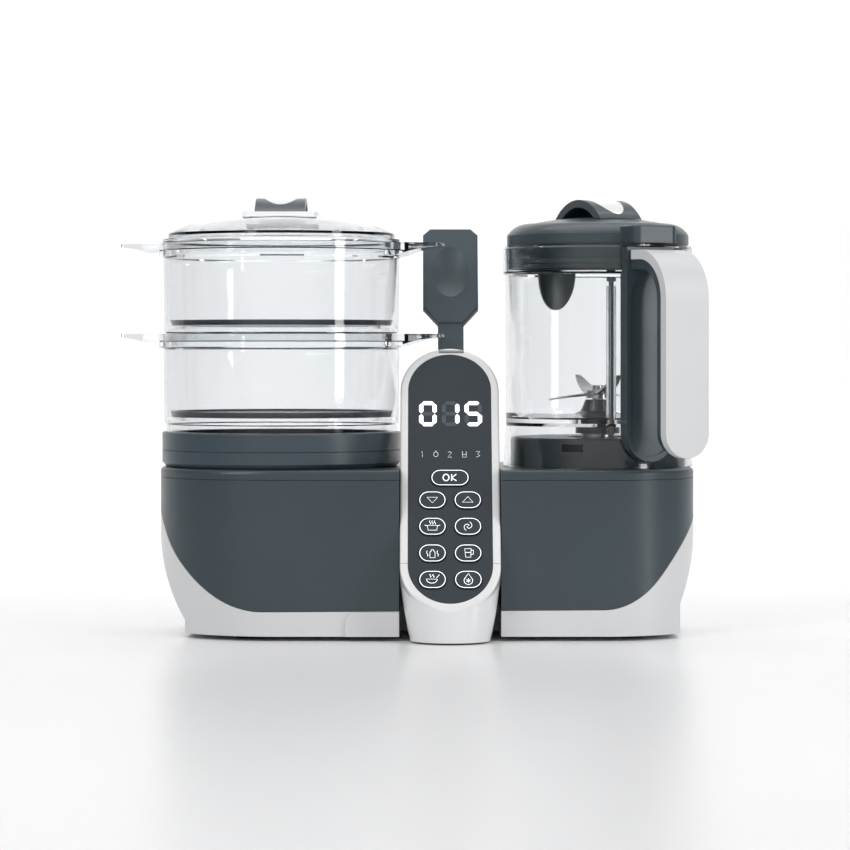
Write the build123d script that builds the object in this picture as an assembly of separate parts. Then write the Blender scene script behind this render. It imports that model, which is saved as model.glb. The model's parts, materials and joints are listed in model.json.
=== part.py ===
from build123d import *

import math
import os

# Baby food maker: a steamer with two stacked round baskets, a blender jug and a leaning
# control pod, all on one base. Millimetres; +Z is up, -Y is the front, and +X runs from the
# steamer to the blender. The origin is on the worktop, under the middle of the whole footprint.

# ---------------------------------------------------------------- driving dimensions
CENTRE_X, CENTRE_Y = -11.92, -20.61      # middle of the footprint in the working frame below

WALL = 2.5                              # moulded wall of the base
SEAM = 0.3                              # air between neighbouring mouldings
STEAM_X, STEAM_Y = -100.5, -5.0         # axis of the steamer
JUG_X, JUG_Y = 121.0, -5.7              # axis of the blender
POD_X = 17.0                            # middle of the control pod

END_X, END_Y, END_R = -100.5, -5.7, 84.3            # round left end of the base
CORNER_X, CORNER_R = 120.7, 65.6                    # right corners of the base
CORNER_FRONT_Y, CORNER_BACK_Y = -24.4, 13.0
BASE_LEFT, BASE_RIGHT = END_X - END_R, CORNER_X + CORNER_R
FLOOR_Z = 3.0                           # underside of the pan
SIDE_Z = 80.0                           # the curve of the ends is upright at this height
SIDE_PROUD = 0.2                        # how far that curve clears the plan outline there
LEFT_SIDE_R, LEFT_PLINTH_Z = 121.6, 12.0
RIGHT_SIDE_R, RIGHT_PLINTH_Z = 138.6, 23.5
HOUSING_TOP_Z = 108.4
DECK_Z0, DECK_Z1 = 108.7, 115.5
DECK_EDGE = 3.0
CHANNEL_HALF, CHANNEL_BACK = 34.5, -42.5            # slot in the base that takes the pod

PANEL_LOW_Y, PANEL_LOW_Z = -122.0, 22.9             # lowest point of the panel's outline
PANEL_LEAN = 30.0                       # degrees that the panel leans back
POD_HALF, POD_LENGTH, POD_DEPTH = 34.0, 202.4, 22.0
GLASS_HALF, GLASS_LOW, GLASS_TOP = 28.5, 5.5, 196.9
FRAME_DEPTH = 12.0                      # front part of the pod; the rest is the back cover
CHIN_TOP = 35.3                         # joint between frame and chin, along the panel
STEM_X, STEM_HALF = 1.0, 8.95           # spatula stem, from the pod's middle
STEM_DEPTH0, STEM_DEPTH1 = 6.75, 10.25

RIM_Z0, RIM_Z1 = 115.8, 127.0           # boiler rim
TRAY_Z0, TRAY_Z1 = 127.3, 139.7         # juice tray
STEAM_R = 83.4
BASKET_Z = (140.0, 203.4)               # feet of the lower and the upper basket
BASKET_H = 67.8
WING_REACH = 115.2
WING_TURN = -8.5                        # degrees that the handles are turned to pass the spatula
LID_Z = 271.5
STEAM_KNOB_Z = 292.3

SEAT_R, SEAT_TOP = 61.0, 135.9
JUG_R = 64.5
COLLAR_R, COLLAR_Z, RIM_BEAD_Z, JUG_TOP = 66.1, 250.2, 267.0, 269.3
JUG_FLOOR = 146.2
HANDLE_TURN = -62.0                     # degrees from +X to the handle
SPINE_FACE, SPINE_HALF, SPINE_LOW = 70.5, 19.0, 120.2
GRIP_OUT, GRIP_HALF, GRIP_LOW, GRIP_TOP = 116.5, 17.0, 124.0, 264.6
SHELL_T, LINER_T, GRIP_BEND = 6.5, 6.4, 34.0
JUG_LID_Z, JUG_LID_R = 269.6, 63.6
ROD_TURN, ROD_AT = -83.5, 55.5          # interlock rod, polar from the jug's axis
ROD_R, ROD_BORE_R = 1.7, 2.0
SHAFT_R, RUNNING = 4.0, 0.05            # shafts and the radial play in their bores
TIGHT = 0.01                            # play between a shaft and what is fixed on it

os.makedirs("parts", exist_ok=True)


# ---------------------------------------------------------------- helpers
def save(name, *solids):
    """Writes one node, moved so that the footprint's middle is the origin."""
    moved = [Pos(-CENTRE_X, -CENTRE_Y, 0) * solid for solid in solids]
    shape = moved[0] if len(moved) == 1 else Compound(children=moved)
    export_step(shape, f"parts/{name}.step")


def one(shape):
    """The largest solid of a result."""
    return max(shape.solids(), key=lambda solid: solid.volume)


def box(x0, x1, y0, y1, z0, z1):
    """A block between two corners."""
    return Pos((x0 + x1) / 2, (y0 + y1) / 2, (z0 + z1) / 2) * Box(x1 - x0, y1 - y0, z1 - z0)


def disc(x, y, z0, z1, r):
    """An upright cylinder."""
    return Pos(x, y, (z0 + z1) / 2) * Cylinder(r, z1 - z0)


def tube(x, y, z0, z1, r_out, r_in):
    """An upright tube."""
    return disc(x, y, z0, z1, r_out) - disc(x, y, z0 - 1, z1 + 1, r_in)


def turned(x, y, points):
    """A solid of revolution about an upright axis from (radius, height) points."""
    face = make_face(Polyline(*points, close=True))
    return Pos(x, y, 0) * revolve(Plane.XZ * face, Axis.Z)


def cap_radius(cap_edge, apex_z):
    """Radius of the ball whose top passes through a dome's apex and its cap's edge."""
    drop = apex_z - cap_edge[1]
    return (cap_edge[0] ** 2 + drop**2) / (2 * drop)


def crown(rim, shoulder, cap_edge, apex_z):
    """The two arcs over a dome: a rounded shoulder, then a ball's cap up to the axis."""
    radius = cap_radius(cap_edge, apex_z)
    half = cap_edge[0] / 2
    middle = (half, apex_z - radius + math.sqrt(radius**2 - half**2))
    return [ThreePointArc(rim, shoulder, cap_edge), ThreePointArc(cap_edge, middle, (0, apex_z))]


def domed(outside, inside):
    """A turned shell between two domes, each given as for crown."""
    ends = [Line((0, outside[3]), (0, inside[3])), Line(inside[0], outside[0])]
    return revolve(Plane.XZ * make_face(crown(*outside) + crown(*inside) + ends), Axis.Z)


def below(dome, low):
    """Everything under a dome down to a height."""
    rim, apex_z = dome[0], dome[3]
    sides = Polyline((0, apex_z), (0, low), (rim[0], low), rim)
    return revolve(Plane.XZ * make_face(crown(*dome) + [sides]), Axis.Z)


def upright_slot(half, low, top):
    """A stadium outline that stands on its round end."""
    return Pos(0, (low + top) / 2) * SlotOverall(top - low, 2 * half, rotation=90)


# ---------------------------------------------------------------- base
def plan_prism(inset, z0, z1):
    """A prism on the base's plan outline, moved in by inset."""
    left, right, diagonal = END_R - inset, CORNER_R - inset, math.sqrt(0.5)
    front, back = CORNER_FRONT_Y - right, CORNER_BACK_Y + right
    edges = [
        ThreePointArc((END_X, END_Y + left), (END_X - left, END_Y), (END_X, END_Y - left)),
        Line((END_X, END_Y - left), (CORNER_X, front)),
        ThreePointArc(
            (CORNER_X, front),
            (CORNER_X + right * diagonal, CORNER_FRONT_Y - right * diagonal),
            (CORNER_X + right, CORNER_FRONT_Y),
        ),
        Line((CORNER_X + right, CORNER_FRONT_Y), (CORNER_X + right, CORNER_BACK_Y)),
        ThreePointArc(
            (CORNER_X + right, CORNER_BACK_Y),
            (CORNER_X + right * diagonal, CORNER_BACK_Y + right * diagonal),
            (CORNER_X, back),
        ),
        Line((CORNER_X, back), (END_X, END_Y + left)),
    ]
    return Pos(0, 0, z0) * extrude(make_face(edges), z1 - z0)


def side_arc(centre_x, radius, sign, low_z):
    """The curved end of the base in front view, from upright down to the plinth."""
    ends = []
    for z in (SIDE_Z, (SIDE_Z + low_z) / 2, low_z):
        ends.append((centre_x + sign * math.sqrt(radius**2 - (SIDE_Z - z) ** 2), z))
    return ThreePointArc(*ends)


def front_prism(inset):
    """The base's front view as a prism along Y, moved in by inset."""
    left_centre = BASE_LEFT - SIDE_PROUD + LEFT_SIDE_R
    right_centre = BASE_RIGHT + SIDE_PROUD - RIGHT_SIDE_R
    left = side_arc(left_centre, LEFT_SIDE_R - inset, -1, LEFT_PLINTH_Z)
    right = side_arc(right_centre, RIGHT_SIDE_R - inset, 1, RIGHT_PLINTH_Z)
    floor, top = FLOOR_Z + inset, 140
    edges = [
        left,
        Polyline(left @ 1, ((left @ 1).X, floor), ((right @ 1).X, floor), right @ 1),
        right,
        Polyline(right @ 0, ((right @ 0).X, top), ((left @ 0).X, top), left @ 0),
    ]
    return extrude(Plane.XZ * make_face(edges), amount=200, both=True)


def above_split(shift):
    """Everything above the curved line between the light pan and the dark housing."""
    left = Spline((-192, 104), (-184.8, 86), (-173.9, 60.5), (-158.1, 41), (-137.3, 26), (-112, 19.6))
    right = Spline((120, 21.0), (137.6, 24.6), (151, 33.0), (168, 53), (186, 81), (193, 97))
    edges = [
        left,
        Line(left @ 1, right @ 0),
        right,
        Polyline(right @ 1, (230, 97), (230, 220), (-230, 220), (-230, 104), left @ 0),
    ]
    return Pos(0, 0, shift) * extrude(Plane.XZ * make_face(edges), amount=200, both=True)


CHANNEL_X0, CHANNEL_X1 = POD_X - CHANNEL_HALF, POD_X + CHANNEL_HALF
FEET = [(-120, -58), (-120, 46), (140, -54), (140, 44)]
SCREWS = [(-140, -6), (-30, 62), (70, 62), (164, -6)]
FOOT_R = 10.0
GLAND_X, GLAND_Z = 30.0, 52.0
REAR_VENTS, FLOOR_VENTS, VENT_PITCH, VENT_HALF = 11, 8, 8.0, 1.5


def channel():
    """The room that the pod takes in the base."""
    return box(CHANNEL_X0, CHANNEL_X1, -140, CHANNEL_BACK, -5, 140)


def channel_walls():
    """The walls round the pod's channel."""
    front = CORNER_FRONT_Y - CORNER_R + 1
    walls = box(CHANNEL_X0 - WALL, CHANNEL_X1 + WALL, front, CHANNEL_BACK + WALL, FLOOR_Z, HOUSING_TOP_Z)
    return walls - channel()


def make_shells():
    """Dark housing and light pan, either side of the curved line."""
    outer = plan_prism(0, FLOOR_Z, HOUSING_TOP_Z) & front_prism(0)
    inner = plan_prism(WALL, 0, 140) & front_prism(WALL)
    shell = (outer - inner) - channel() + channel_walls()

    housing = shell & above_split(SEAM / 2)
    for i in range(REAR_VENTS):
        x = 50 + VENT_PITCH * i
        housing -= box(x - VENT_HALF, x + VENT_HALF, 70, 90, 46, 84)
    housing -= Pos(GLAND_X, 78, GLAND_Z) * Rot(90, 0, 0) * Cylinder(8.2, 20)
    save("main_housing", one(housing))

    pan = shell - above_split(-SEAM / 2)
    # proud light block beside the pod, with a bevelled upper corner
    block = [(-54, FLOOR_Z), (-54, 15), (-49, 19.4), (CHANNEL_X0, 19.4), (CHANNEL_X0, FLOOR_Z)]
    pan += Pos(0, -88.5, 0) * extrude(Plane.XZ * make_face(Polyline(*block, close=True)), 2.9)
    for x, y in SCREWS:
        pan += disc(x, y, FLOOR_Z, 34, 5.5)
        pan -= disc(x, y, 0, 7, 3.7)
        pan -= disc(x, y, 0, 28, 1.6)
    for i in range(FLOOR_VENTS):
        x = JUG_X - 28 + VENT_PITCH * i
        pan -= box(x - VENT_HALF, x + VENT_HALF, -26, 22, 0, 12)
    save("lower_shell", one(pan))


def make_base_fittings():
    """Screws, feet and the gland at the back."""
    save("case_screws", *[disc(x, y, 4.4, 6.8, 3.3) + disc(x, y, 6.7, 26, 1.5) for x, y in SCREWS])
    feet = [disc(x, y, 0, FLOOR_Z, FOOT_R) for x, y in FEET]
    save("rubber_feet", *[fillet(foot.edges().sort_by(Axis.Z)[0], 0.8) for foot in feet])
    gland = Cylinder(7.9, 9)
    for offset in (-3.8, 1.6):
        gland += Pos(0, 0, offset) * Cylinder(10.5, 2.4)
    gland -= Cylinder(3.4, 40)
    save("cord_gland", one(Pos(GLAND_X, 76.2, GLAND_Z) * Rot(90, 0, 0) * gland))


def make_deck():
    """Dark top cover with the openings for the boiler and the motor's coupling."""
    deck = plan_prism(0, DECK_Z0, DECK_Z1)
    deck = fillet(deck.edges().group_by(Axis.Z)[-1], DECK_EDGE)
    edge = 3 * WALL
    hollow = plan_prism(WALL, DECK_Z0 - 5, DECK_Z1 - 3)
    hollow -= box(CHANNEL_X0 - edge, CHANNEL_X1 + edge, -100, CHANNEL_BACK + edge, 90, 130)
    deck -= hollow
    # rim that locates the deck inside the housing
    tongue = plan_prism(WALL + SEAM, DECK_Z0 - 5, DECK_Z1 - 2) - plan_prism(2 * WALL, 90, 130)
    deck += tongue - box(CHANNEL_X0 - edge - 1, CHANNEL_X1 + edge + 1, -100, -60, 90, 130)
    deck -= channel()
    deck -= disc(STEAM_X, STEAM_Y, 90, 130, 74)
    deck -= disc(JUG_X, JUG_Y, 90, 130, 40)
    save("top_deck", one(deck))


# ---------------------------------------------------------------- control pod
LEAN = math.radians(PANEL_LEAN)
PANEL = Plane(
    origin=(POD_X, PANEL_LOW_Y, PANEL_LOW_Z),
    x_dir=(1, 0, 0),
    z_dir=(0, -math.cos(LEAN), math.sin(LEAN)),
)
OUTWARD = Axis(PANEL.origin, PANEL.z_dir)


def panel_prism(face, depth0, depth1):
    """A prism on a face of the panel between two depths behind the panel's front."""
    return extrude(PANEL * Pos(0, 0, -depth0) * face, amount=-(depth1 - depth0))


def panel_box(x0, x1, t0, t1, depth0, depth1):
    """A block in the panel's directions."""
    return panel_prism(Pos((x0 + x1) / 2, (t0 + t1) / 2) * Rectangle(x1 - x0, t1 - t0), depth0, depth1)


# each key's middle and half sizes, across and up the panel
KEYS = {
    "key_ok": (0.0, 100.0, 13.1, 6.35),
    "key_down": (-12.0, 83.0, 9.35, 6.75),
    "key_up": (12.0, 83.0, 9.35, 6.75),
    "key_steam": (-12.0, 62.9, 9.35, 6.75),
    "key_blend": (12.0, 62.9, 9.35, 6.75),
    "key_sterilise": (-12.0, 42.8, 9.35, 6.75),
    "key_jug": (12.0, 42.8, 9.35, 6.75),
    "key_warm": (-12.0, 23.1, 9.35, 6.75),
    "key_defrost": (12.0, 23.1, 9.35, 6.75),
}


def key_face(name, grow):
    """A key's pill outline on the panel."""
    x, t, half_w, half_h = KEYS[name]
    return Pos(x, t) * SlotOverall(2 * (half_w + grow), 2 * (half_h + grow))


def chin_section(z, half, front, inset):
    """A level section of the chin: a bow in front of two straight cheeks."""
    middle, back = -95.0, -60.0 - inset
    bow = EllipticalCenterArc((POD_X, middle), half - inset, middle - front - inset, 180, arc_size=180)
    left, right = bow @ 0, bow @ 1
    cheeks = Polyline(right, (right.X, back), (left.X, back), left)
    return Pos(0, 0, z) * make_face([bow, cheeks])


def make_pod_case():
    """Frame, back cover and chin."""
    body = panel_prism(upright_slot(POD_HALF, 0, POD_LENGTH), 0, POD_DEPTH)
    body = fillet(body.faces().sort_by(OUTWARD)[-1].edges(), 1.8)
    pocket = panel_prism(upright_slot(GLASS_HALF + 0.15, GLASS_LOW - 0.15, GLASS_TOP + 0.15), -2, 3.1)
    opening = panel_prism(upright_slot(26.5, 7.5, 194.9), 3, 5.4)
    cavity = panel_prism(upright_slot(POD_HALF - 3, 3, POD_LENGTH - 3), 5.3, POD_DEPTH - 2.4)
    half_gap = SEAM / 2

    front = body & panel_box(-80, 80, CHIN_TOP + half_gap, 300, -5, FRAME_DEPTH)
    play = 0.35
    slot = panel_box(
        STEM_X - STEM_HALF - play,
        STEM_X + STEM_HALF + play,
        159,
        230,
        STEM_DEPTH0 - play,
        STEM_DEPTH1 + play,
    )
    sleeve = panel_box(STEM_X - 12, STEM_X + 12, 157, 200, 5.0, FRAME_DEPTH)
    front = front - cavity + sleeve
    for room in (pocket, opening, slot, panel_box(-7.5, 10, 198.0, 200.4, -5, STEM_DEPTH0)):
        front -= room
    save("panel_frame", one(front))

    cover = body & panel_box(-80, 80, CHIN_TOP + half_gap, 300, FRAME_DEPTH + half_gap, POD_DEPTH + 1)
    save("panel_back_cover", one(cover - cavity))

    levels = ((1.0, 27.0, -119.5), (24.0, 31.5, -122.6), (54.0, 33.8, -124.0))
    hull = loft([chin_section(z, half, nose, 0) for z, half, nose in levels])
    hollow = loft([chin_section(z, half, nose, 2.6) for z, half, nose in levels])
    hull = hull & panel_box(-80, 80, -120, CHIN_TOP - half_gap, 0, 200)
    hollow = hollow & panel_box(-80, 80, -120, 60, 5.3, 200)
    chin = hull + (body & panel_box(-80, 80, -50, CHIN_TOP - half_gap, -5, POD_DEPTH + 1))
    chin = chin - hollow - cavity - pocket - opening
    save("panel_foot", one(chin))


def make_pod_inside():
    """Glass, keys, display, mat, board and the neck that carries the pod."""
    glass = panel_prism(upright_slot(GLASS_HALF, GLASS_LOW, GLASS_TOP), 0.3, 2.9)
    for name in KEYS:
        glass -= panel_prism(key_face(name, 0.3), -2, 10)
        save(name, panel_prism(key_face(name, 0), -0.7, 4.1))
    save("panel_lens", one(glass))
    save("display_module", panel_box(-24, 24, 134, 156, 3.3, 6.2))
    save("keypad_mat", panel_box(-20, 20, 17, 110, 5.5, 6.5))
    save("control_board", panel_box(-20, 20, 17, 150, 6.8, 8.4))
    low, high, fit = 62.0, 92.0, 0.2
    rear = PANEL_LOW_Y + POD_DEPTH / math.cos(LEAN) + fit
    profile = [
        (rear + math.tan(LEAN) * (low - PANEL_LOW_Z), low),
        (rear + math.tan(LEAN) * (high - PANEL_LOW_Z), high),
        (CHANNEL_BACK - fit, high),
        (CHANNEL_BACK - fit, low),
    ]
    neck = extrude(Plane.YZ * make_face(Polyline(*profile, close=True)), amount=12, both=True)
    save("pod_neck", Pos(POD_X, 0, 0) * neck)


def make_spatula():
    """Soft spatula: a scooped head on a flat stem that stands in the pod's slot."""
    shoulder, top, half, corner = 226.0, 303.8, 19.4, 5.0
    half_outline = [(STEM_HALF, shoulder), (half, shoulder + 13), (half, top - corner), (half - corner, top)]
    outline = half_outline + [(-x, t) for x, t in reversed(half_outline)]
    head = panel_prism(Pos(STEM_X, 0) * make_face(Polyline(*outline, close=True)), 5.6, 11.4)
    head = fillet(head.faces().sort_by(OUTWARD)[-1].edges(), 1.2)
    stem = panel_box(STEM_X - STEM_HALF, STEM_X + STEM_HALF, 162, shoulder + 6, STEM_DEPTH0, STEM_DEPTH1)
    bowl = PANEL * Pos(STEM_X, 268, 14.6) * scale(Sphere(24), by=(1, 1.6, 1))
    save("spatula", one(stem + head - bowl))


# ---------------------------------------------------------------- steamer
def make_boiler():
    """Rim, tank, heater and juice tray."""
    rim = [
        (71.0, 108.9),
        (73.6, 108.9),
        (73.6, RIM_Z0),
        (80.6, RIM_Z0),
        (STEAM_R, RIM_Z0 + 3),
        (STEAM_R, RIM_Z1),
        (78.5, RIM_Z1),
        (78.5, 119.0),
        (71.0, 119.0),
    ]
    save("boiler_rim", turned(STEAM_X, STEAM_Y, rim))
    tank = [
        (0, 62),
        (60, 62),
        (67, 64.5),
        (70.4, 71),
        (70.4, 119.1),
        (74.5, 119.1),
        (74.5, 120.3),
        (69.2, 120.3),
        (69.2, 71.4),
        (66.2, 65.6),
        (59.8, 63.2),
        (0, 63.2),
    ]
    save("boiler_tank", turned(STEAM_X, STEAM_Y, tank))
    plate = disc(STEAM_X, STEAM_Y, 54, 61.8, 48)
    for side in (-1, 1):
        plate += disc(STEAM_X + 14 * side, STEAM_Y + 36, 40, 55, 2.8)
    save("heater_plate", one(plate))
    tray = [
        (10, 121.6),
        (75.5, 121.6),
        (77.5, 124),
        (77.5, 137.2),
        (81.0, 137.2),
        (81.0, TRAY_Z0),
        (STEAM_R, TRAY_Z0),
        (STEAM_R, TRAY_Z1 - 0.8),
        (STEAM_R - 0.8, TRAY_Z1),
        (75.5, TRAY_Z1),
        (75.5, 125.4),
        (73.5, 123.6),
        (12, 123.6),
        (12, 134),
        (10, 134),
    ]
    save("juice_tray", turned(STEAM_X, STEAM_Y, tray))


def wing(side):
    """One clear basket handle, made about the basket's axis with its top at height 0."""
    root = 78
    under = Spline((root, -9.5), (86, -8.2), (98, -4.6), (110, -2.7), (WING_REACH, -2.1))
    over = Polyline(under @ 1, (WING_REACH, -0.6), (WING_REACH - 0.8, 0), (root, 0), under @ 0)
    plate = extrude(Plane.XZ * make_face([under, over]), amount=40, both=True)
    tip_r = 10
    wide_end = Pos(72, 0) * Rectangle(8, 62)
    tip = Pos(WING_REACH - tip_r, 0) * Circle(tip_r)
    plan = make_hull(wide_end.edges() + tip.edges())
    plate = plate & (Pos(0, 0, -20) * extrude(plan, 40))
    return Rot(0, 0, WING_TURN + (0 if side > 0 else 180)) * plate


def make_basket(z):
    """Clear round basket with two wings; z is the height of its foot."""
    points = [
        (68, 8),
        (78.2, 8),
        (78.2, 0),
        (80.6, 0),
        (80.6, 4.8),
        (82.0, 5.6),
        (82.6, 57.0),
        (83.6, 58.2),
        (83.6, BASKET_H),
        (81.0, BASKET_H),
        (81.0, 63.1),
        (80.0, 62.4),
        (79.4, 10.2),
        (68, 10.2),
    ]
    basket = turned(0, 0, points)
    for side in (-1, 1):
        basket += Pos(0, 0, BASKET_H) * wing(side) - disc(0, 0, 40, 80, 82)
    return one(Pos(STEAM_X, STEAM_Y, z) * basket)


def make_tray(z):
    """Dark loose perforated floor of a basket."""
    low = z + 10.4
    outline = [
        (0, low),
        (76.6, low),
        (78.0, low + 3.6),
        (76.4, low + 3.6),
        (75.2, low + 2.2),
        (0, low + 2.2),
    ]
    holes = []
    for ring in range(1, 6):
        count = 6 * ring
        for k in range(count):
            holes.append(Rot(0, 0, 360 * k / count) * Pos(12.5 * ring, 0, low + 1) * Box(5.2, 2.6, 6))
    return one(Pos(STEAM_X, STEAM_Y, 0) * (turned(0, 0, outline) - holes))


def arch(span, width, z0, z1, tunnel_half, tunnel_top):
    """An arched knob along Y with a finger tunnel through it."""
    outer = ThreePointArc((-span / 2, z0), (0, z1), (span / 2, z0))
    inner = ThreePointArc((tunnel_half, z0), (0, tunnel_top), (-tunnel_half, z0))
    edges = [outer, Line(outer @ 1, inner @ 0), inner, Line(inner @ 1, outer @ 0)]
    return extrude(Plane.YZ * make_face(edges), amount=width / 2, both=True)


INSERT_T = 1.6


def split_insert(knob, zone):
    """Divides a knob into its body and an inlaid cap within the zone."""
    cap = one((knob & zone) - Pos(0, 0, -INSERT_T) * knob)
    return one(knob - cap), cap


def make_steam_lid():
    """Clear domed lid with a stepped edge and a skirt inside the basket, and its knob."""
    edge = [
        (78.4, 266.9),
        (80.6, 266.9),
        (80.6, LID_Z),
        (83.4, LID_Z),
        (83.4, 273.6),
        (79.5, 274.4),
        (79.0, 277.9),
        (76.4, 277.9),
        (76.4, 272.5),
        (78.4, 271.0),
    ]
    outside = ((79.0, 277.6), (66.0, 283.9), (46.5, 288.4), 291.5)
    inside = ((76.4, 276.0), (64.5, 281.5), (45.9, 286.0), 289.1)
    lid = turned(0, 0, edge) + domed(outside, inside)
    plate = Pos(0, 0, 286.5) * extrude(RectangleRounded(52, 76, 6), 5.7)
    lid += plate - below(inside, 270)
    for side in (-1, 1):
        for k in (-1, 0, 1):
            lid -= disc(56 * side, 9 * k, 270, 300, 2.0)
    save("steamer_lid", one(Pos(STEAM_X, STEAM_Y, 0) * lid))
    zone = Pos(0, -4, 290) * extrude(Ellipse(11, 20), 30)
    knob, cap = split_insert(arch(67, 34.7, STEAM_KNOB_Z, 302.9, 22, 298.4), zone)
    save("steamer_knob", Pos(STEAM_X, STEAM_Y, 0) * knob)
    save("steamer_knob_insert", Pos(STEAM_X, STEAM_Y, 0) * cap)


# ---------------------------------------------------------------- blender
def at_handle(shape):
    """Places a shape made along +X from the jug's axis in the handle's direction."""
    return Pos(JUG_X, JUG_Y, 0) * Rot(0, 0, HANDLE_TURN) * shape


ROD_X = JUG_X + ROD_AT * math.cos(math.radians(ROD_TURN))
ROD_Y = JUG_Y + ROD_AT * math.sin(math.radians(ROD_TURN))


def make_seat():
    """Raised seat for the jug, its seal and the safety switch inside it."""
    seat = [
        (58, 115.6),
        (SEAT_R, 115.6),
        (SEAT_R, SEAT_TOP - 1.5),
        (SEAT_R - 1.5, SEAT_TOP),
        (22, SEAT_TOP),
        (22, SEAT_TOP - 3),
        (58, SEAT_TOP - 3),
    ]
    boss = turned(JUG_X, JUG_Y, seat)
    boss -= disc(ROD_X, ROD_Y, 120, 140, ROD_BORE_R)
    boss -= box(94, 108, -80, -45, 126.7, 132)
    save("jug_seat", one(boss))
    save("seat_seal", turned(JUG_X, JUG_Y, [(17.5, 131.4), (24.5, 131.4), (24.5, 132.7), (17.5, 132.7)]))
    save("interlock_switch", box(ROD_X - 7, ROD_X + 2, ROD_Y - 1.8, ROD_Y + 7, 115.7, 119.6))
    save("switch_plunger", disc(ROD_X, ROD_Y, 122.4, 135.6, ROD_R))


def make_motor():
    """Stator, rotor, fan, coupling, mount and the power board."""
    stator = tube(JUG_X, JUG_Y, 40, 95, 34, 22.5)
    for z in (40, 91):
        stator += tube(JUG_X, JUG_Y, z, z + 4, 34, SHAFT_R + RUNNING)
    save("motor_stator", one(stator))
    save("motor_rotor", one(disc(JUG_X, JUG_Y, 26, 119.8, SHAFT_R) + disc(JUG_X, JUG_Y, 47, 87, 21.6)))
    fan = tube(JUG_X, JUG_Y, 28, 38, 8, SHAFT_R + TIGHT) + tube(JUG_X, JUG_Y, 28, 30, 28, 7)
    for k in range(9):
        fan += Pos(JUG_X, JUG_Y, 0) * Rot(0, 0, 40 * k) * box(7.5, 27, -0.8, 0.8, 29.5, 37)
    save("cooling_fan", one(fan))
    drive = tube(JUG_X, JUG_Y, 114, 119.6, 14, SHAFT_R + TIGHT)
    drive += tube(JUG_X, JUG_Y, 119.5, 120.5, 14, SHAFT_R + 0.2)
    drive += disc(JUG_X, JUG_Y, 119.9, 121.6, 14)
    for k in range(3):
        drive += Pos(JUG_X, JUG_Y, 0) * Rot(0, 0, 120 * k) * box(4.8, 9.6, -2.0, 2.0, 121, 130.2)
    save("drive_coupling", one(drive))
    mount = tube(JUG_X, JUG_Y, 84, 103, 38, 34.3) + tube(JUG_X, JUG_Y, 100, 103, 52, 36)
    for k in range(4):
        mount += Pos(JUG_X, JUG_Y, 0) * Rot(0, 0, 45 + 90 * k) * disc(46.5, 0, 102, 112.3, 4.5)
    save("motor_mount", one(mount))
    power = box(-14, 60, 10, 56, 20, 21.8) + box(-4, 16, 20, 44, 21.6, 42) + box(28, 50, 24, 48, 21.6, 36)
    save("power_board", one(power))


def make_jug():
    """Clear jug with its skirt, collar, spout and rod channel, and the interlock rod."""
    points = [
        (64.0, 115.8),
        (66.4, 115.8),
        (65.6, 121),
        (JUG_R + 0.1, 140),
        (JUG_R, 150),
        (JUG_R, COLLAR_Z - 1.5),
        (COLLAR_R, COLLAR_Z),
        (COLLAR_R, RIM_BEAD_Z),
        (65.2, RIM_BEAD_Z + 0.9),
        (65.2, JUG_TOP),
        (62.9, JUG_TOP),
        (62.9, COLLAR_Z + 1),
        (62.0, COLLAR_Z),
        (62.0, 153),
        (61.2, 150.2),
        (59.0, 148.9),
        (14, 148.7),
        (14, JUG_FLOOR),
        (60.5, JUG_FLOOR),
        (62.2, 144),
        (62.3, 140),
        (63.2, 121),
    ]
    jug = turned(0, 0, points)
    outside = loft([Pos(-63, 0, 251) * Ellipse(3.0, 8), Pos(-65, 0, JUG_TOP) * Ellipse(10, 15)])
    inside = loft([Pos(-62, 0, 251.5) * Ellipse(2.4, 6), Pos(-63.5, 0, JUG_TOP + 0.2) * Ellipse(9, 12.8)])
    jug += outside - disc(0, 0, 240, 280, 63.5)
    jug -= inside
    low, high = JUG_FLOOR + 1, 240.5
    column = disc(0, 0, low, high, 3.4) + box(2, 7.2, -1.6, 1.6, low, high)
    column = Rot(0, 0, ROD_TURN - HANDLE_TURN) * Pos(ROD_AT, 0, 0) * column
    bore = Rot(0, 0, ROD_TURN - HANDLE_TURN) * Pos(ROD_AT, 0, 0) * disc(0, 0, 130, 250, ROD_BORE_R)
    save("jug", one(at_handle(jug + column - bore)))
    rod = disc(ROD_X, ROD_Y, 138.7, 243.6, ROD_R) + disc(ROD_X, ROD_Y, 243.5, 246.4, 3.2)
    save("interlock_rod", one(rod))


def hook(start, r_out, thick, z_top, z_low, half):
    """A strip that leaves the spine, bends over and runs down to a rounded free end."""
    bend = GRIP_BEND - (GRIP_OUT - r_out)
    small, r_in, diagonal = bend - thick, r_out - thick, math.sqrt(0.5)
    cx, cz = r_out - bend, z_top - bend
    edges = [
        Line((start, z_top), (cx, z_top)),
        ThreePointArc((cx, z_top), (cx + bend * diagonal, cz + bend * diagonal), (r_out, cz)),
        Polyline((r_out, cz), (r_out, z_low), (r_in, z_low), (r_in, cz)),
        ThreePointArc((r_in, cz), (cx + small * diagonal, cz + small * diagonal), (cx, z_top - thick)),
        Polyline((cx, z_top - thick), (start, z_top - thick), (start, z_top)),
    ]
    strip = extrude(Plane.XZ * make_face(edges), amount=half, both=True)
    return strip & extrude(Plane.YZ * upright_slot(half, z_low, 340), amount=200)


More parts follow.
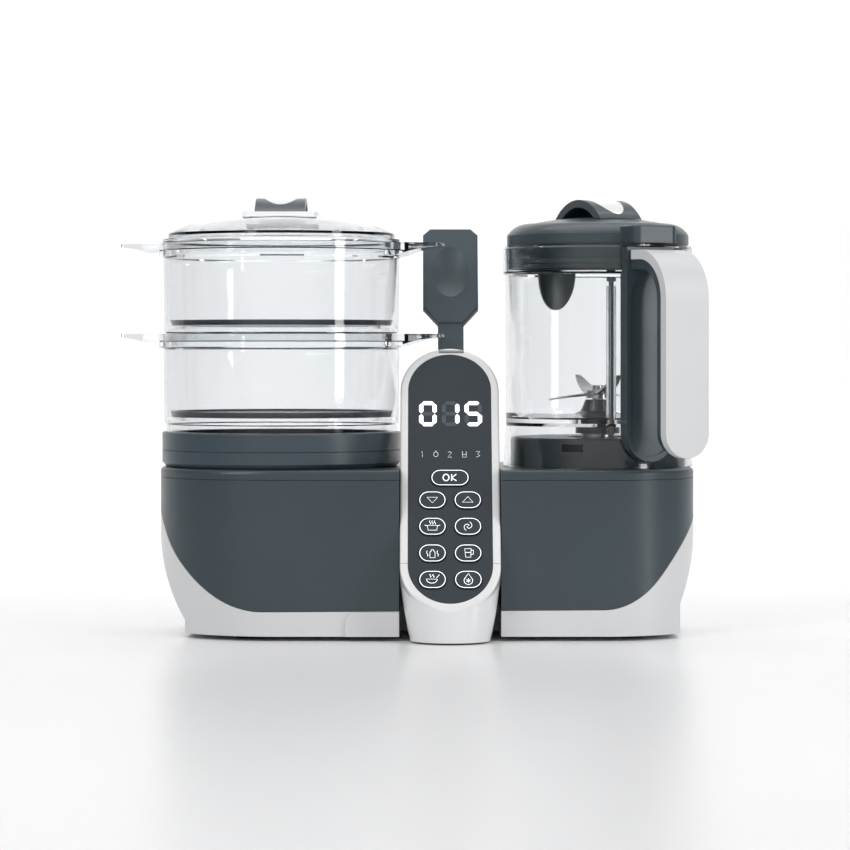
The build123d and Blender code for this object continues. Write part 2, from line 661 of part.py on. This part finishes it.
def make_handle():
    """Dark spine on the jug, and the grip's dark liner and light outer shell."""
    spine = extrude(Plane.YZ.offset(50) * upright_slot(SPINE_HALF, SPINE_LOW, 300), amount=SPINE_FACE - 50)
    spine = spine & box(0, 100, -40, 40, 100, RIM_BEAD_Z)
    spine -= extrude(Plane.YZ.offset(SPINE_FACE - 1.2) * upright_slot(SPINE_HALF - 3, 124, 248), amount=5)
    fit = 0.1
    jug_form = [
        (0, 100),
        (66.4 + fit, 100),
        (66.4 + fit, 116),
        (65.6 + fit, 121),
        (JUG_R + 2 * fit, 140),
        (JUG_R + fit, 150),
        (JUG_R + fit, COLLAR_Z - 1.6),
        (COLLAR_R + fit, COLLAR_Z - 0.1),
        (COLLAR_R + fit, 280),
        (0, 280),
    ]
    spine -= turned(0, 0, jug_form)
    save("handle_spine", one(at_handle(spine)))
    liner_top = GRIP_TOP - SHELL_T - fit
    liner_out = GRIP_OUT - SHELL_T - fit
    liner = hook(SPINE_FACE + fit / 2, liner_out, LINER_T, liner_top, GRIP_LOW + 1.5, GRIP_HALF - 1.2)
    shell = hook(SPINE_FACE + 1.5, GRIP_OUT, SHELL_T, GRIP_TOP, GRIP_LOW, GRIP_HALF)
    save("handle_liner", one(at_handle(liner)))
    save("grip_shell", one(at_handle(shell)))


def make_jug_lid():
    """Dark lid with a dome, skirt, locking tab and spout tongue, its gasket and knob."""
    z = JUG_LID_Z
    band = [
        (60.2, 253),
        (62.4, 253),
        (62.4, 256),
        (61.2, 256),
        (61.2, 259.6),
        (62.4, 259.6),
        (62.4, z),
        (JUG_LID_R, z),
        (JUG_LID_R, 276.6),
        (60.2, 276.6),
    ]
    outside = ((JUG_LID_R, 276.4), (59.5, 281.2), (48, 284.6), 289.5)
    inside = ((60.2, 275.4), (56.5, 279.4), (46, 282.4), 287.0)
    lid = turned(0, 0, band) + domed(outside, inside)
    tab = Pos(66, 0, z) * extrude(RectangleRounded(24, 35, 5), 12.0)
    lid += fillet(tab.edges().group_by(Axis.Z)[-1], 1.5) - disc(0, 0, 260, 290, 61.5)
    tongue = tube(0, 0, 224, 255, 60.6, 58.4) & box(-80, 0, -40, 40, 200, 255)
    lid += tongue & extrude(Plane.YZ * (Pos(0, 252.5) * Ellipse(15.3, 27.3)), amount=-80)
    save("jug_lid", one(at_handle(lid)))
    save("lid_seal", turned(JUG_X, JUG_Y, [(61.5, 256.3), (62.55, 256.3), (62.55, 259.3), (61.5, 259.3)]))
    ball_r, apex_z = cap_radius(outside[2], outside[3]), outside[3]
    blank = arch(70, 33, 283, 301.5, 27, 296.2) - Pos(0, 0, apex_z - ball_r) * Sphere(ball_r + SEAM)
    knob, cap = split_insert(blank, Pos(0, 9, 280) * extrude(Ellipse(10.5, 19), 40))
    save("jug_knob", at_handle(Rot(0, 0, -90) * knob))
    save("jug_knob_insert", at_handle(Rot(0, 0, -90) * cap))


def make_blades():
    """Blade carrier, its nut, the shaft with the driven coupling and the steel blades."""
    carrier = [
        (SHAFT_R + RUNNING, 138),
        (11.9, 138),
        (11.9, 149.1),
        (18, 149.1),
        (18, 151.2),
        (12, 154),
        (8.6, 162),
        (SHAFT_R + RUNNING, 162),
    ]
    save("blade_carrier", turned(JUG_X, JUG_Y, carrier))
    save("blade_nut", turned(JUG_X, JUG_Y, [(12.0, 138.2), (15.6, 138.2), (15.6, 145.8), (12.0, 145.8)]))
    shaft = disc(JUG_X, JUG_Y, 130, 172, SHAFT_R) + disc(JUG_X, JUG_Y, 122.2, 137.6, 12.5)
    for k in range(3):
        shaft -= Pos(JUG_X, JUG_Y, 0) * Rot(0, 0, 120 * k) * box(4.2, 10.2, -2.5, 2.5, 121, 131)
    save("blade_shaft", one(shaft))
    blades = tube(0, 0, 163, 168.4, 8.4, SHAFT_R + TIGHT)
    middle_z = 165.7
    for k in range(4):
        rise = 13 if k % 2 else -3.5
        sections = []
        for reach, share, width, thick in ((6, 0, 11, 1.8), (20, 0.35, 10, 1.5), (36, 1, 4, 0.9)):
            place = Plane(origin=(reach, 0, middle_z + rise * share), x_dir=(0, 1, 0), z_dir=(1, 0, 0))
            sections.append(place * Rectangle(width, thick))
        blades += Rot(0, 0, 90 * k + 20) * loft(sections)
    blades -= disc(0, 0, 150, 190, SHAFT_R + TIGHT)
    save("blades", one(Pos(JUG_X, JUG_Y, 0) * blades))


# ---------------------------------------------------------------- build
make_shells()
make_base_fittings()
make_deck()
make_pod_case()
make_pod_inside()
make_spatula()
make_boiler()
for storey, foot_z in zip(("lower", "upper"), BASKET_Z):
    save(f"{storey}_basket", make_basket(foot_z))
    save(f"{storey}_tray", make_tray(foot_z))
make_steam_lid()
make_seat()
make_motor()
make_jug()
make_handle()
make_jug_lid()
make_blades()
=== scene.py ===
import json
import math

import bmesh
import bpy
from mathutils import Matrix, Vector


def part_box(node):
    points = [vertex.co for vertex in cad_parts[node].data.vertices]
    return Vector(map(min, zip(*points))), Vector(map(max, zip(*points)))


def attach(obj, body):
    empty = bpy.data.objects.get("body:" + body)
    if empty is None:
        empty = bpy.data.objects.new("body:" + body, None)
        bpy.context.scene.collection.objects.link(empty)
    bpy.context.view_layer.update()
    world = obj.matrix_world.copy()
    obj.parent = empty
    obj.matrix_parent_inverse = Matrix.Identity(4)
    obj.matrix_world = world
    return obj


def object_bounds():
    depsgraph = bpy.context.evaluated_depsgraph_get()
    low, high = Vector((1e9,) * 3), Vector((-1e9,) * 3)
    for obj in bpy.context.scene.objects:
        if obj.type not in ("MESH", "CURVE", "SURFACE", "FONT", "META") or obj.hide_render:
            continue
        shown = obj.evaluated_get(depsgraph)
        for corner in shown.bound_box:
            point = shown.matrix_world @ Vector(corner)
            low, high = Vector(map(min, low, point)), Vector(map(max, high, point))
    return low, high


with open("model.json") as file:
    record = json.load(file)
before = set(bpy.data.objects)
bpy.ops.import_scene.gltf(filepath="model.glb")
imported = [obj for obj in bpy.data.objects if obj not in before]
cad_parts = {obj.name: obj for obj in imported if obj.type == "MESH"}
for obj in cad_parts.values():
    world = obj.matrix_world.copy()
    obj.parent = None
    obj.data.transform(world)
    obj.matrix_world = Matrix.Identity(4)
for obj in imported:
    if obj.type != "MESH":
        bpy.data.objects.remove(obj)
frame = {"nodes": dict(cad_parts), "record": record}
cad_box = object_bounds()

MM = 0.001
LEAN = math.radians(30)                         # the key panel leans back by this much
ACROSS = Vector((1, 0, 0))
UP_PANEL = Vector((0, math.sin(LEAN), math.cos(LEAN)))
OUT = Vector((0, -math.cos(LEAN), math.sin(LEAN)))
GLASS_T = 2.6 * MM                              # thickness of the panel's glass
KEY_T = 4.8 * MM                                # thickness of a key
PRINT_T = 0.12 * MM                             # height of what is printed on them

# noise scales, in waves per metre, from broad clouding of the colour down to fine marks
CLOUDS, CLEAR_CLOUDS, GLOSS_PATCHES, FLOW_WAVES, WIPE_MARKS = 11, 16, 60, 45, 240
BRUSH_LINES, INK_SPECKS, SOFT_GRAIN, RUBBER_GRAIN, HARD_GRAIN = 150, 500, 1800, 1500, 2600
GRAIN_HEIGHT, FLOW_HEIGHT, BRUSH_HEIGHT = 0.00005, 0.0002, 0.00003      # metres
EDGE_ROUNDING = 0.0005                          # how far edges look rounded, in metres


# ---------------------------------------------------------------- materials
def wire(material):
    """The material's node tree pieces that every finish starts from."""
    material.use_nodes = True
    tree = material.node_tree
    coords = tree.nodes.new("ShaderNodeTexCoord")
    return tree, tree.nodes["Principled BSDF"], coords.outputs["Object"]


def noise(tree, coords, scale, detail=3.0):
    """A noise texture in object space; scale is in waves per metre."""
    node = tree.nodes.new("ShaderNodeTexNoise")
    node.inputs["Scale"].default_value = scale
    node.inputs["Detail"].default_value = detail
    tree.links.new(coords, node.inputs["Vector"])
    return node.outputs["Fac"]


def spread(tree, source, low, high):
    """The source, remapped from its usual middle range to low..high."""
    node = tree.nodes.new("ShaderNodeMapRange")
    node.inputs["From Min"].default_value = 0.3
    node.inputs["From Max"].default_value = 0.7
    node.inputs["To Min"].default_value = low
    node.inputs["To Max"].default_value = high
    tree.links.new(source, node.inputs["Value"])
    return node.outputs["Result"]


def tint(tree, source, dark, light):
    """A colour that runs from dark to light with the source."""
    node = tree.nodes.new("ShaderNodeMix")
    node.data_type = "RGBA"
    node.inputs["A"].default_value = (*dark, 1)
    node.inputs["B"].default_value = (*light, 1)
    tree.links.new(source, node.inputs["Factor"])
    return node.outputs["Result"]


def bump(tree, shader, source, strength, height, rounding=0.0):
    """Relief on the shader, on edges softened by rounding."""
    node = tree.nodes.new("ShaderNodeBump")
    node.inputs["Strength"].default_value = strength
    node.inputs["Distance"].default_value = height
    tree.links.new(source, node.inputs["Height"])
    if rounding:
        soft = tree.nodes.new("ShaderNodeBevel")
        soft.samples = 4
        soft.inputs["Radius"].default_value = rounding
        tree.links.new(soft.outputs["Normal"], node.inputs["Normal"])
    tree.links.new(node.outputs["Normal"], shader.inputs["Normal"])


def moulded(
    name,
    colour,
    rough,
    grain=0.12,
    grain_scale=HARD_GRAIN,
    drift=0.07,
    coat=0.0,
    rounding=EDGE_ROUNDING,
):
    """Moulded plastic or rubber: slight clouding, uneven gloss and a fine spark-eroded grain."""
    material = bpy.data.materials.new(name)
    tree, shader, coords = wire(material)
    cloud = spread(tree, noise(tree, coords, CLOUDS), 0, 1)
    dark = [channel * (1 - drift) for channel in colour]
    light = [min(1, channel * (1 + drift)) for channel in colour]
    tree.links.new(tint(tree, cloud, dark, light), shader.inputs["Base Color"])
    gloss = spread(tree, noise(tree, coords, GLOSS_PATCHES, 2), rough * 0.95, rough * 1.05)
    tree.links.new(gloss, shader.inputs["Roughness"])
    shader.inputs["Coat Weight"].default_value = coat
    shader.inputs["Coat Roughness"].default_value = 0.06
    bump(tree, shader, noise(tree, coords, grain_scale, 2), grain, GRAIN_HEIGHT, rounding)
    return material


def clear(name, colour, rough=0.03):
    """Clear moulded plastic with faint flow waves and fine wipe marks."""
    material = bpy.data.materials.new(name)
    tree, shader, coords = wire(material)
    cloud = spread(tree, noise(tree, coords, CLEAR_CLOUDS), 0, 1)
    faded = [channel * 0.985 for channel in colour]
    tree.links.new(tint(tree, cloud, faded, colour), shader.inputs["Base Color"])
    gloss = spread(tree, noise(tree, coords, WIPE_MARKS, 6), rough * 0.5, rough * 1.6)
    tree.links.new(gloss, shader.inputs["Roughness"])
    shader.inputs["Transmission Weight"].default_value = 1.0
    shader.inputs["IOR"].default_value = 1.45
    bump(tree, shader, noise(tree, coords, FLOW_WAVES, 2), 0.08, FLOW_HEIGHT)
    return material


def metal(name, colour, rough, stretch=(1, 1, 30)):
    """Steel or alloy with brush lines across the stretched direction."""
    material = bpy.data.materials.new(name)
    tree, shader, coords = wire(material)
    mapping = tree.nodes.new("ShaderNodeMapping")
    mapping.inputs["Scale"].default_value = stretch
    tree.links.new(coords, mapping.inputs["Vector"])
    lines = noise(tree, mapping.outputs["Vector"], BRUSH_LINES, 6)
    dark = [channel * 0.85 for channel in colour]
    tree.links.new(tint(tree, spread(tree, lines, 0, 1), dark, colour), shader.inputs["Base Color"])
    tree.links.new(spread(tree, lines, rough * 0.8, rough * 1.3), shader.inputs["Roughness"])
    shader.inputs["Metallic"].default_value = 1.0
    bump(tree, shader, lines, 0.15, BRUSH_HEIGHT)
    return material


def printed(name, colour, glow):
    """Lit or printed marks with slightly uneven ink."""
    material = bpy.data.materials.new(name)
    tree, shader, coords = wire(material)
    dark = [channel * 0.9 for channel in colour]
    ink = tint(tree, spread(tree, noise(tree, coords, INK_SPECKS), 0, 1), dark, colour)
    tree.links.new(ink, shader.inputs["Base Color"])
    tree.links.new(ink, shader.inputs["Emission Color"])
    shader.inputs["Emission Strength"].default_value = glow
    shader.inputs["Roughness"].default_value = 0.35
    return material


FINISHES = {
    "slate_shell": moulded("slate_shell", (0.043, 0.062, 0.074), 0.36, coat=0.12),
    "slate_rim": moulded("slate_rim", (0.048, 0.072, 0.088), 0.34, coat=0.15),
    "slate_lid": moulded("slate_lid", (0.044, 0.064, 0.076), 0.33, grain=0.05, drift=0.03, coat=0.12),
    "light_shell": moulded("light_shell", (0.74, 0.75, 0.76), 0.34, grain=0.08, drift=0.02),
    "white_gloss": moulded("white_gloss", (0.88, 0.885, 0.89), 0.14, grain=0.02, drift=0.012, coat=0.6),
    "pale_grip": moulded("pale_grip", (0.68, 0.69, 0.70), 0.36, grain=0.08, drift=0.02),
    "clear_plastic": clear("clear_plastic", (0.93, 0.945, 0.955)),
    "pod_glass": moulded("pod_glass", (0.022, 0.032, 0.042), 0.12, grain=0.03, coat=0.9),
    "key_film": moulded("key_film", (0.030, 0.042, 0.053), 0.22, grain=0.05, coat=0.5),
    "display": moulded("display", (0.012, 0.018, 0.024), 0.2, grain=0.03),
    "inner_plastic": moulded("inner_plastic", (0.10, 0.11, 0.12), 0.5, rounding=0),
    "circuit_board": moulded("circuit_board", (0.02, 0.13, 0.06), 0.45, drift=0.2, rounding=0),
    "soft_silicone": moulded("soft_silicone", (0.07, 0.095, 0.11), 0.55, 0.15, SOFT_GRAIN),
    "spatula_silicone": moulded("spatula_silicone", (0.055, 0.080, 0.096), 0.46, 0.14, SOFT_GRAIN),
    "feet_rubber": moulded("feet_rubber", (0.025, 0.026, 0.028), 0.7, 0.3, RUBBER_GRAIN),
    "steel": metal("steel", (0.62, 0.62, 0.63), 0.24),
    "motor_steel": metal("motor_steel", (0.3, 0.3, 0.31), 0.42, (1, 1, 60)),
    "heater_alloy": metal("heater_alloy", (0.66, 0.66, 0.67), 0.5, (1, 1, 1)),
}
# lit_mark also draws the keys' outlines, which are painted edge highlights
LIT = printed("lit_mark", (0.92, 0.95, 0.97), 1.4)
PALE = printed("pale_mark", (0.70, 0.75, 0.78), 0.45)
GHOST = printed("ghost_mark", (0.075, 0.090, 0.105), 0.12)


def dress_nodes():
    """Each CAD node takes the finish of its slot in the record."""
    for part in frame["record"]["subparts"]:
        obj = frame["nodes"][part["node"]]
        if not obj.material_slots:
            obj.data.materials.append(None)
        for slot in obj.material_slots:
            slot.material = FINISHES[part["material_slot"]]


# ---------------------------------------------------------------- marks on the panel
def middle(node):
    """The middle of a node's box."""
    low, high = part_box(node)
    return (Vector(low) + Vector(high)) / 2


def key_origin(node):
    """The middle of a key's front face."""
    return middle(node) + OUT * (KEY_T / 2)


def glass_origin():
    """The middle of the glass's front face."""
    return middle("panel_lens") + OUT * (GLASS_T / 2)


def place(origin, x, y, lift=0.0):
    """A point given in millimetres across and up the panel from an origin on it."""
    return origin + ACROSS * (x * MM) + UP_PANEL * (y * MM) + OUT * lift


def finish_piece(obj, material, body):
    """Gives a new piece its finish and its body."""
    obj.data.materials.append(material)
    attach(obj, body)
    return obj


def strokes(name, origin, lines, material, body, thick):
    """Fine raised lines on the panel, thick millimetres in radius; each line is (points, closed)."""
    curve = bpy.data.curves.new(name, "CURVE")
    curve.dimensions = "3D"
    curve.bevel_depth = thick * MM
    curve.bevel_resolution = 1
    for points, closed in lines:
        spline = curve.splines.new("POLY")
        spline.points.add(len(points) - 1)
        for knot, (x, y) in zip(spline.points, points):
            knot.co = (*place(origin, x, y), 1)
        spline.use_cyclic_u = closed
    obj = bpy.data.objects.new(name, curve)
    bpy.context.collection.objects.link(obj)
    return finish_piece(obj, material, body)


def plates(name, origin, outlines, material, body):
    """Thin raised plates on the panel from flat outlines."""
    mesh = bpy.data.meshes.new(name)
    build = bmesh.new()
    for outline in outlines:
        low = [build.verts.new(place(origin, x, y)) for x, y in outline]
        top = [build.verts.new(place(origin, x, y, PRINT_T)) for x, y in outline]
        count = len(outline)
        build.faces.new(top)
        build.faces.new(low[::-1])
        for i in range(count):
            build.faces.new((low[i], low[(i + 1) % count], top[(i + 1) % count], top[i]))
    bmesh.ops.recalc_face_normals(build, faces=build.faces)
    build.to_mesh(mesh)
    build.free()
    obj = bpy.data.objects.new(name, mesh)
    bpy.context.collection.objects.link(obj)
    return finish_piece(obj, material, body)


def ring(cx, cy, rx, ry=None, start=0, end=360, steps=20):
    """Points round an ellipse or a part of it, in degrees."""
    ry = rx if ry is None else ry
    closed = end - start >= 360
    count = steps if closed else steps + 1
    points = []
    for i in range(count):
        turn = math.radians(start + (end - start) * i / steps)
        points.append((cx + rx * math.cos(turn), cy + ry * math.sin(turn)))
    return points, closed


def pill(half_w, half_h, steps=10):
    """A stadium's outline."""
    straight = half_w - half_h
    right = [(x + straight, y) for x, y in ring(0, 0, half_h, start=-90, end=90, steps=steps)[0]]
    left = [(x - straight, y) for x, y in ring(0, 0, half_h, start=90, end=270, steps=steps)[0]]
    return right + left, True


def wave(x, low, high, swing=0.5):
    """A small rising wisp of steam."""
    points = []
    for i in range(9):
        share = i / 8
        points.append((x + swing * math.sin(2 * math.pi * share), low + (high - low) * share))
    return points, False


def swirl(turn):
    """Half of a two-armed swirl."""
    points = []
    for i in range(15):
        share = i / 14
        angle = math.radians(turn + 230 * share)
        reach = 0.5 + 2.9 * share
        points.append((reach * math.cos(angle), reach * math.sin(angle)))
    return points, False


def flake(cx, cy, reach):
    """Three crossing strokes."""
    arms = []
    for k in range(3):
        angle = math.radians(30 + 60 * k)
        dx, dy = reach * math.cos(angle), reach * math.sin(angle)
        arms.append(([(cx - dx, cy - dy), (cx + dx, cy + dy)], False))
    return arms


# line symbols in millimetres from the key's middle; each line is (points, closed)
POT = [
    ([(-3.4, 0.6), (-2.9, -3.0), (2.9, -3.0), (3.4, 0.6)], True),
    ([(-3.4, 0.2), (-5.2, 0.9)], False),
    ([(3.4, 0.2), (5.2, 0.9)], False),
]
BOTTLE_SIDE = [(-1.7, -3.6), (-1.7, 0.6), (-0.8, 1.6), (-0.8, 2.4)]
BOTTLE = BOTTLE_SIDE + [(-x, y) for x, y in reversed(BOTTLE_SIDE)]
JUG = [
    ([(-2.3, 3.2), (2.0, 3.2), (1.7, -3.2), (-1.7, -3.2)], True),
    ([(2.0, 2.2), (3.6, 1.9), (3.4, -1.0), (1.8, -1.2)], False),
    ([(-1.9, 0.4), (1.9, 0.4)], False),
]
BOWL = ring(-0.4, 0.2, 3.6, 3.0, 180, 360)[0]
DROP = ring(0, -0.9, 2.9, 2.9, -215, 35)[0] + [(0, 4.3)]
SYMBOLS = {
    "key_ok": [
        ring(-2.7, 0, 2.0, 2.5),
        ([(1.1, -2.5), (1.1, 2.5)], False),
        ([(4.2, 2.5), (1.1, -0.3), (4.4, -2.5)], False),
    ],
    "key_down": [([(-3.6, 1.9), (3.6, 1.9), (0, -2.4)], True)],
    "key_up": [([(-3.6, -1.9), (3.6, -1.9), (0, 2.4)], True)],
    "key_steam": POT + [wave(x, 1.4, 4.2) for x in (-1.6, 0, 1.6)],
    "key_blend": [swirl(20), swirl(200)],
    "key_sterilise": [(BOTTLE, True), wave(-3.5, -2.6, 1.6), wave(3.5, -2.6, 1.6)],
    "key_jug": JUG,
    "key_warm": [(BOWL, True), ([(2.6, 1.0), (4.6, 3.4)], False)] + [wave(x, 1.4, 3.8) for x in (-1.4, 0.6)],
    "key_defrost": [(DROP, True)] + flake(0, -0.9, 1.6),
}
# each key's bright outline is a painted highlight: a glowing line just inside the key's edge stands in for
# the glint on its bevel
EDGE_HIGHLIGHT_INSET, EDGE_HIGHLIGHT_THICK = 0.75, 0.21
SYMBOL_THICK, BOLD_THICK = 0.17, 0.32


def key_halves(key):
    """Half a key's width, and half its height up the leaning panel, in millimetres."""
    low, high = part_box(key)
    width, rise = high[0] - low[0], high[2] - low[2]
    height = (rise - KEY_T * math.sin(LEAN)) / math.cos(LEAN)
    return width / 2 / MM, height / 2 / MM


def make_key_marks():
    """A bright glowing outline on every key, a painted highlight standing in for the glint on the key's
    bevelled edge, and a line symbol; they move with the key.
    """
    for key, symbol in SYMBOLS.items():
        half_w, half_h = key_halves(key)
        origin, body = key_origin(key), f"{key}_body"
        outline = [pill(half_w - EDGE_HIGHLIGHT_INSET, half_h - EDGE_HIGHLIGHT_INSET)]
        # painted highlight: the glowing outline stands in for light caught on the key's bevelled edge
        strokes(f"{key}_painted_edge_highlight", origin, outline, LIT, body, EDGE_HIGHLIGHT_THICK)
        thick = BOLD_THICK if key == "key_ok" else SYMBOL_THICK
        strokes(f"{key}_symbol", origin, symbol, LIT, body, thick)


# ends of a seven-segment digit's strokes, as fractions of its width and height
SEGMENTS = {
    "a": (0, 1, 1, 1),
    "b": (1, 0.5, 1, 1),
    "c": (1, 0, 1, 0.5),
    "d": (0, 0, 1, 0),
    "e": (0, 0, 0, 0.5),
    "f": (0, 0.5, 0, 1),
    "g": (0, 0.5, 1, 0.5),
}
DIGITS = {"0": "abcdef", "1": "bc", "5": "acdfg"}
DIGIT_W, DIGIT_H, STROKE = 9.2, 16.6, 1.45      # between stroke middles; half a stroke's width
DIGIT_PITCH, DIGIT_LOW, DIGIT_SHIFT = 15.6, 40.6, 0.6   # from the middle of the glass
SEGMENT_GAP = 0.35
MARK_ROW, MARK_HALF, MARK_THICK = 17.2, 2.2, 0.2        # the stage marks' row, half height and radius


def bar(x0, y0, x1, y1):
    """A segment with pointed ends between two stroke middles."""
    if y0 == y1:
        x0, x1 = x0 + SEGMENT_GAP, x1 - SEGMENT_GAP
        return [
            (x0, y0), (x0 + STROKE, y0 - STROKE), (x1 - STROKE, y0 - STROKE),
            (x1, y0), (x1 - STROKE, y0 + STROKE), (x0 + STROKE, y0 + STROKE),
        ]
    y0, y1 = y0 + SEGMENT_GAP, y1 - SEGMENT_GAP
    return [
        (x0, y0), (x0 + STROKE, y0 + STROKE), (x0 + STROKE, y1 - STROKE),
        (x0, y1), (x0 - STROKE, y1 - STROKE), (x0 - STROKE, y0 + STROKE),
    ]


def make_display():
    """Three lit digits with their unlit segments, and the row of stage marks below."""
    origin = glass_origin()
    lit, unlit = [], []
    for order, digit in enumerate("015"):
        left = (order - 1) * DIGIT_PITCH - DIGIT_W / 2 + DIGIT_SHIFT
        for segment, (x0, y0, x1, y1) in SEGMENTS.items():
            start = (left + x0 * DIGIT_W, DIGIT_LOW + y0 * DIGIT_H)
            end = (left + x1 * DIGIT_W, DIGIT_LOW + y1 * DIGIT_H)
            group = lit if segment in DIGITS[digit] else unlit
            group.append(bar(*start, *end))
    plates("display_digits", origin, lit, LIT, "base")
    plates("display_ghosts", origin, unlit, GHOST, "base")
    row, top, foot = MARK_ROW, MARK_ROW + MARK_HALF, MARK_ROW - MARK_HALF
    marks = [
        ([(-19.6, row + 1.6), (-18.8, top), (-18.8, foot)], False),
        ring(-9.6, row, 1.5, 1.9),
        ([(-9.6, row + 1.9), (-9.6, row + 3.0)], False),
        ([(-1.4, row + 1.5), (-0.2, top), (1.1, row + 1.3), (-1.4, foot), (1.3, foot)], False),
        ([(8.6, top), (8.6, foot), (11.2, foot), (11.2, top)], False),
        ([(8.6, row), (11.2, row)], False),
        ([(18.0, top), (20.4, top), (19.0, row + 0.3), (20.5, row - 1.0), (18.0, foot)], False),
    ]
    strokes("stage_marks", origin, marks, PALE, "base", MARK_THICK)


# ---------------------------------------------------------------- studio
def soft_light(name, place_at, aim, width, height, power):
    """A soft box aimed at a point."""
    data = bpy.data.lights.new(name, "AREA")
    data.shape = "RECTANGLE"
    data.size, data.size_y, data.energy = width, height, power
    obj = bpy.data.objects.new(name, data)
    bpy.context.collection.objects.link(obj)
    obj.location = place_at
    obj.rotation_euler = (Vector(aim) - Vector(place_at)).to_track_quat("-Z", "Y").to_euler()


def make_floor():
    """A white floor that curves up into the background."""
    near_edge, flat_end, bend, wall_top, half_width, steps = -4.0, 1.2, 0.9, 4.0, 5, 12
    profile = [(near_edge, 0.0), (flat_end, 0.0)]
    for i in range(1, steps + 1):
        turn = math.radians(90 * i / steps)
        profile.append((flat_end + bend * math.sin(turn), bend - bend * math.cos(turn)))
    profile.append((flat_end + bend, wall_top))
    mesh = bpy.data.meshes.new("studio_floor")
    build = bmesh.new()
    rows = [[build.verts.new((x, y, z)) for x in (-half_width, half_width)] for y, z in profile]
    for near, far in zip(rows, rows[1:]):
        build.faces.new((near[0], near[1], far[1], far[0])).smooth = True
    build.to_mesh(mesh)
    build.free()
    floor = bpy.data.objects.new("studio_floor", mesh)
    bpy.context.collection.objects.link(floor)
    floor.location.z = cad_box[0][2] - 0.0002
    floor.data.materials.append(
        moulded("floor_white", (0.93, 0.93, 0.935), 0.3, grain=0, drift=0.003, rounding=0)
    )


def make_room_light():
    """A pale room, darker to the left and right, which draws the edges of the clear pieces."""
    world = bpy.data.worlds.new("studio")
    world.use_nodes = True
    tree = world.node_tree
    coords = tree.nodes.new("ShaderNodeTexCoord")
    split = tree.nodes.new("ShaderNodeSeparateXYZ")
    side = tree.nodes.new("ShaderNodeMath")
    side.operation = "ABSOLUTE"
    tree.links.new(coords.outputs["Generated"], split.inputs["Vector"])
    tree.links.new(split.outputs["X"], side.inputs[0])
    ramp = tree.nodes.new("ShaderNodeMapRange")
    ramp.inputs["From Min"].default_value = 0.45
    ramp.inputs["From Max"].default_value = 0.9
    tree.links.new(side.outputs["Value"], ramp.inputs["Value"])
    shade = tint(tree, ramp.outputs["Result"], (1, 1, 1), (0.06, 0.07, 0.08))
    tree.links.new(shade, tree.nodes["Background"].inputs["Color"])
    tree.nodes["Background"].inputs["Strength"].default_value = 0.5
    bpy.context.scene.world = world


def make_lights():
    """Soft boxes on the object, and a wide one on the background."""
    target = (0, 0, 0.15)
    soft_light("key_box", (-1.3, -1.6, 1.5), target, 1.2, 1.2, 17)
    soft_light("side_strip", (1.5, -0.9, 0.8), target, 0.35, 1.5, 11)
    soft_light("top_box", (0, 0.2, 2.2), target, 2.0, 1.6, 15)
    soft_light("back_glow", (0, 0.6, 1.5), (0, 2.0, 0.6), 2.6, 0.8, 15)


def make_camera():
    """A level camera in front of the pod; the shift keeps the floor in the picture."""
    camera = bpy.data.cameras.new("camera")
    camera.lens, camera.sensor_width = 138.0, 36.0
    camera.shift_y = -0.088
    camera.dof.use_dof = False
    obj = bpy.data.objects.new("camera", camera)
    bpy.context.collection.objects.link(obj)
    obj.location = (0.0119, -2.2694, 0.1965)
    obj.rotation_euler = (math.radians(90), 0, 0)
    bpy.context.scene.camera = obj
    bpy.context.scene.view_settings.view_transform = "Standard"


dress_nodes()
make_key_marks()
make_display()
make_floor()
make_room_light()
make_lights()
make_camera()
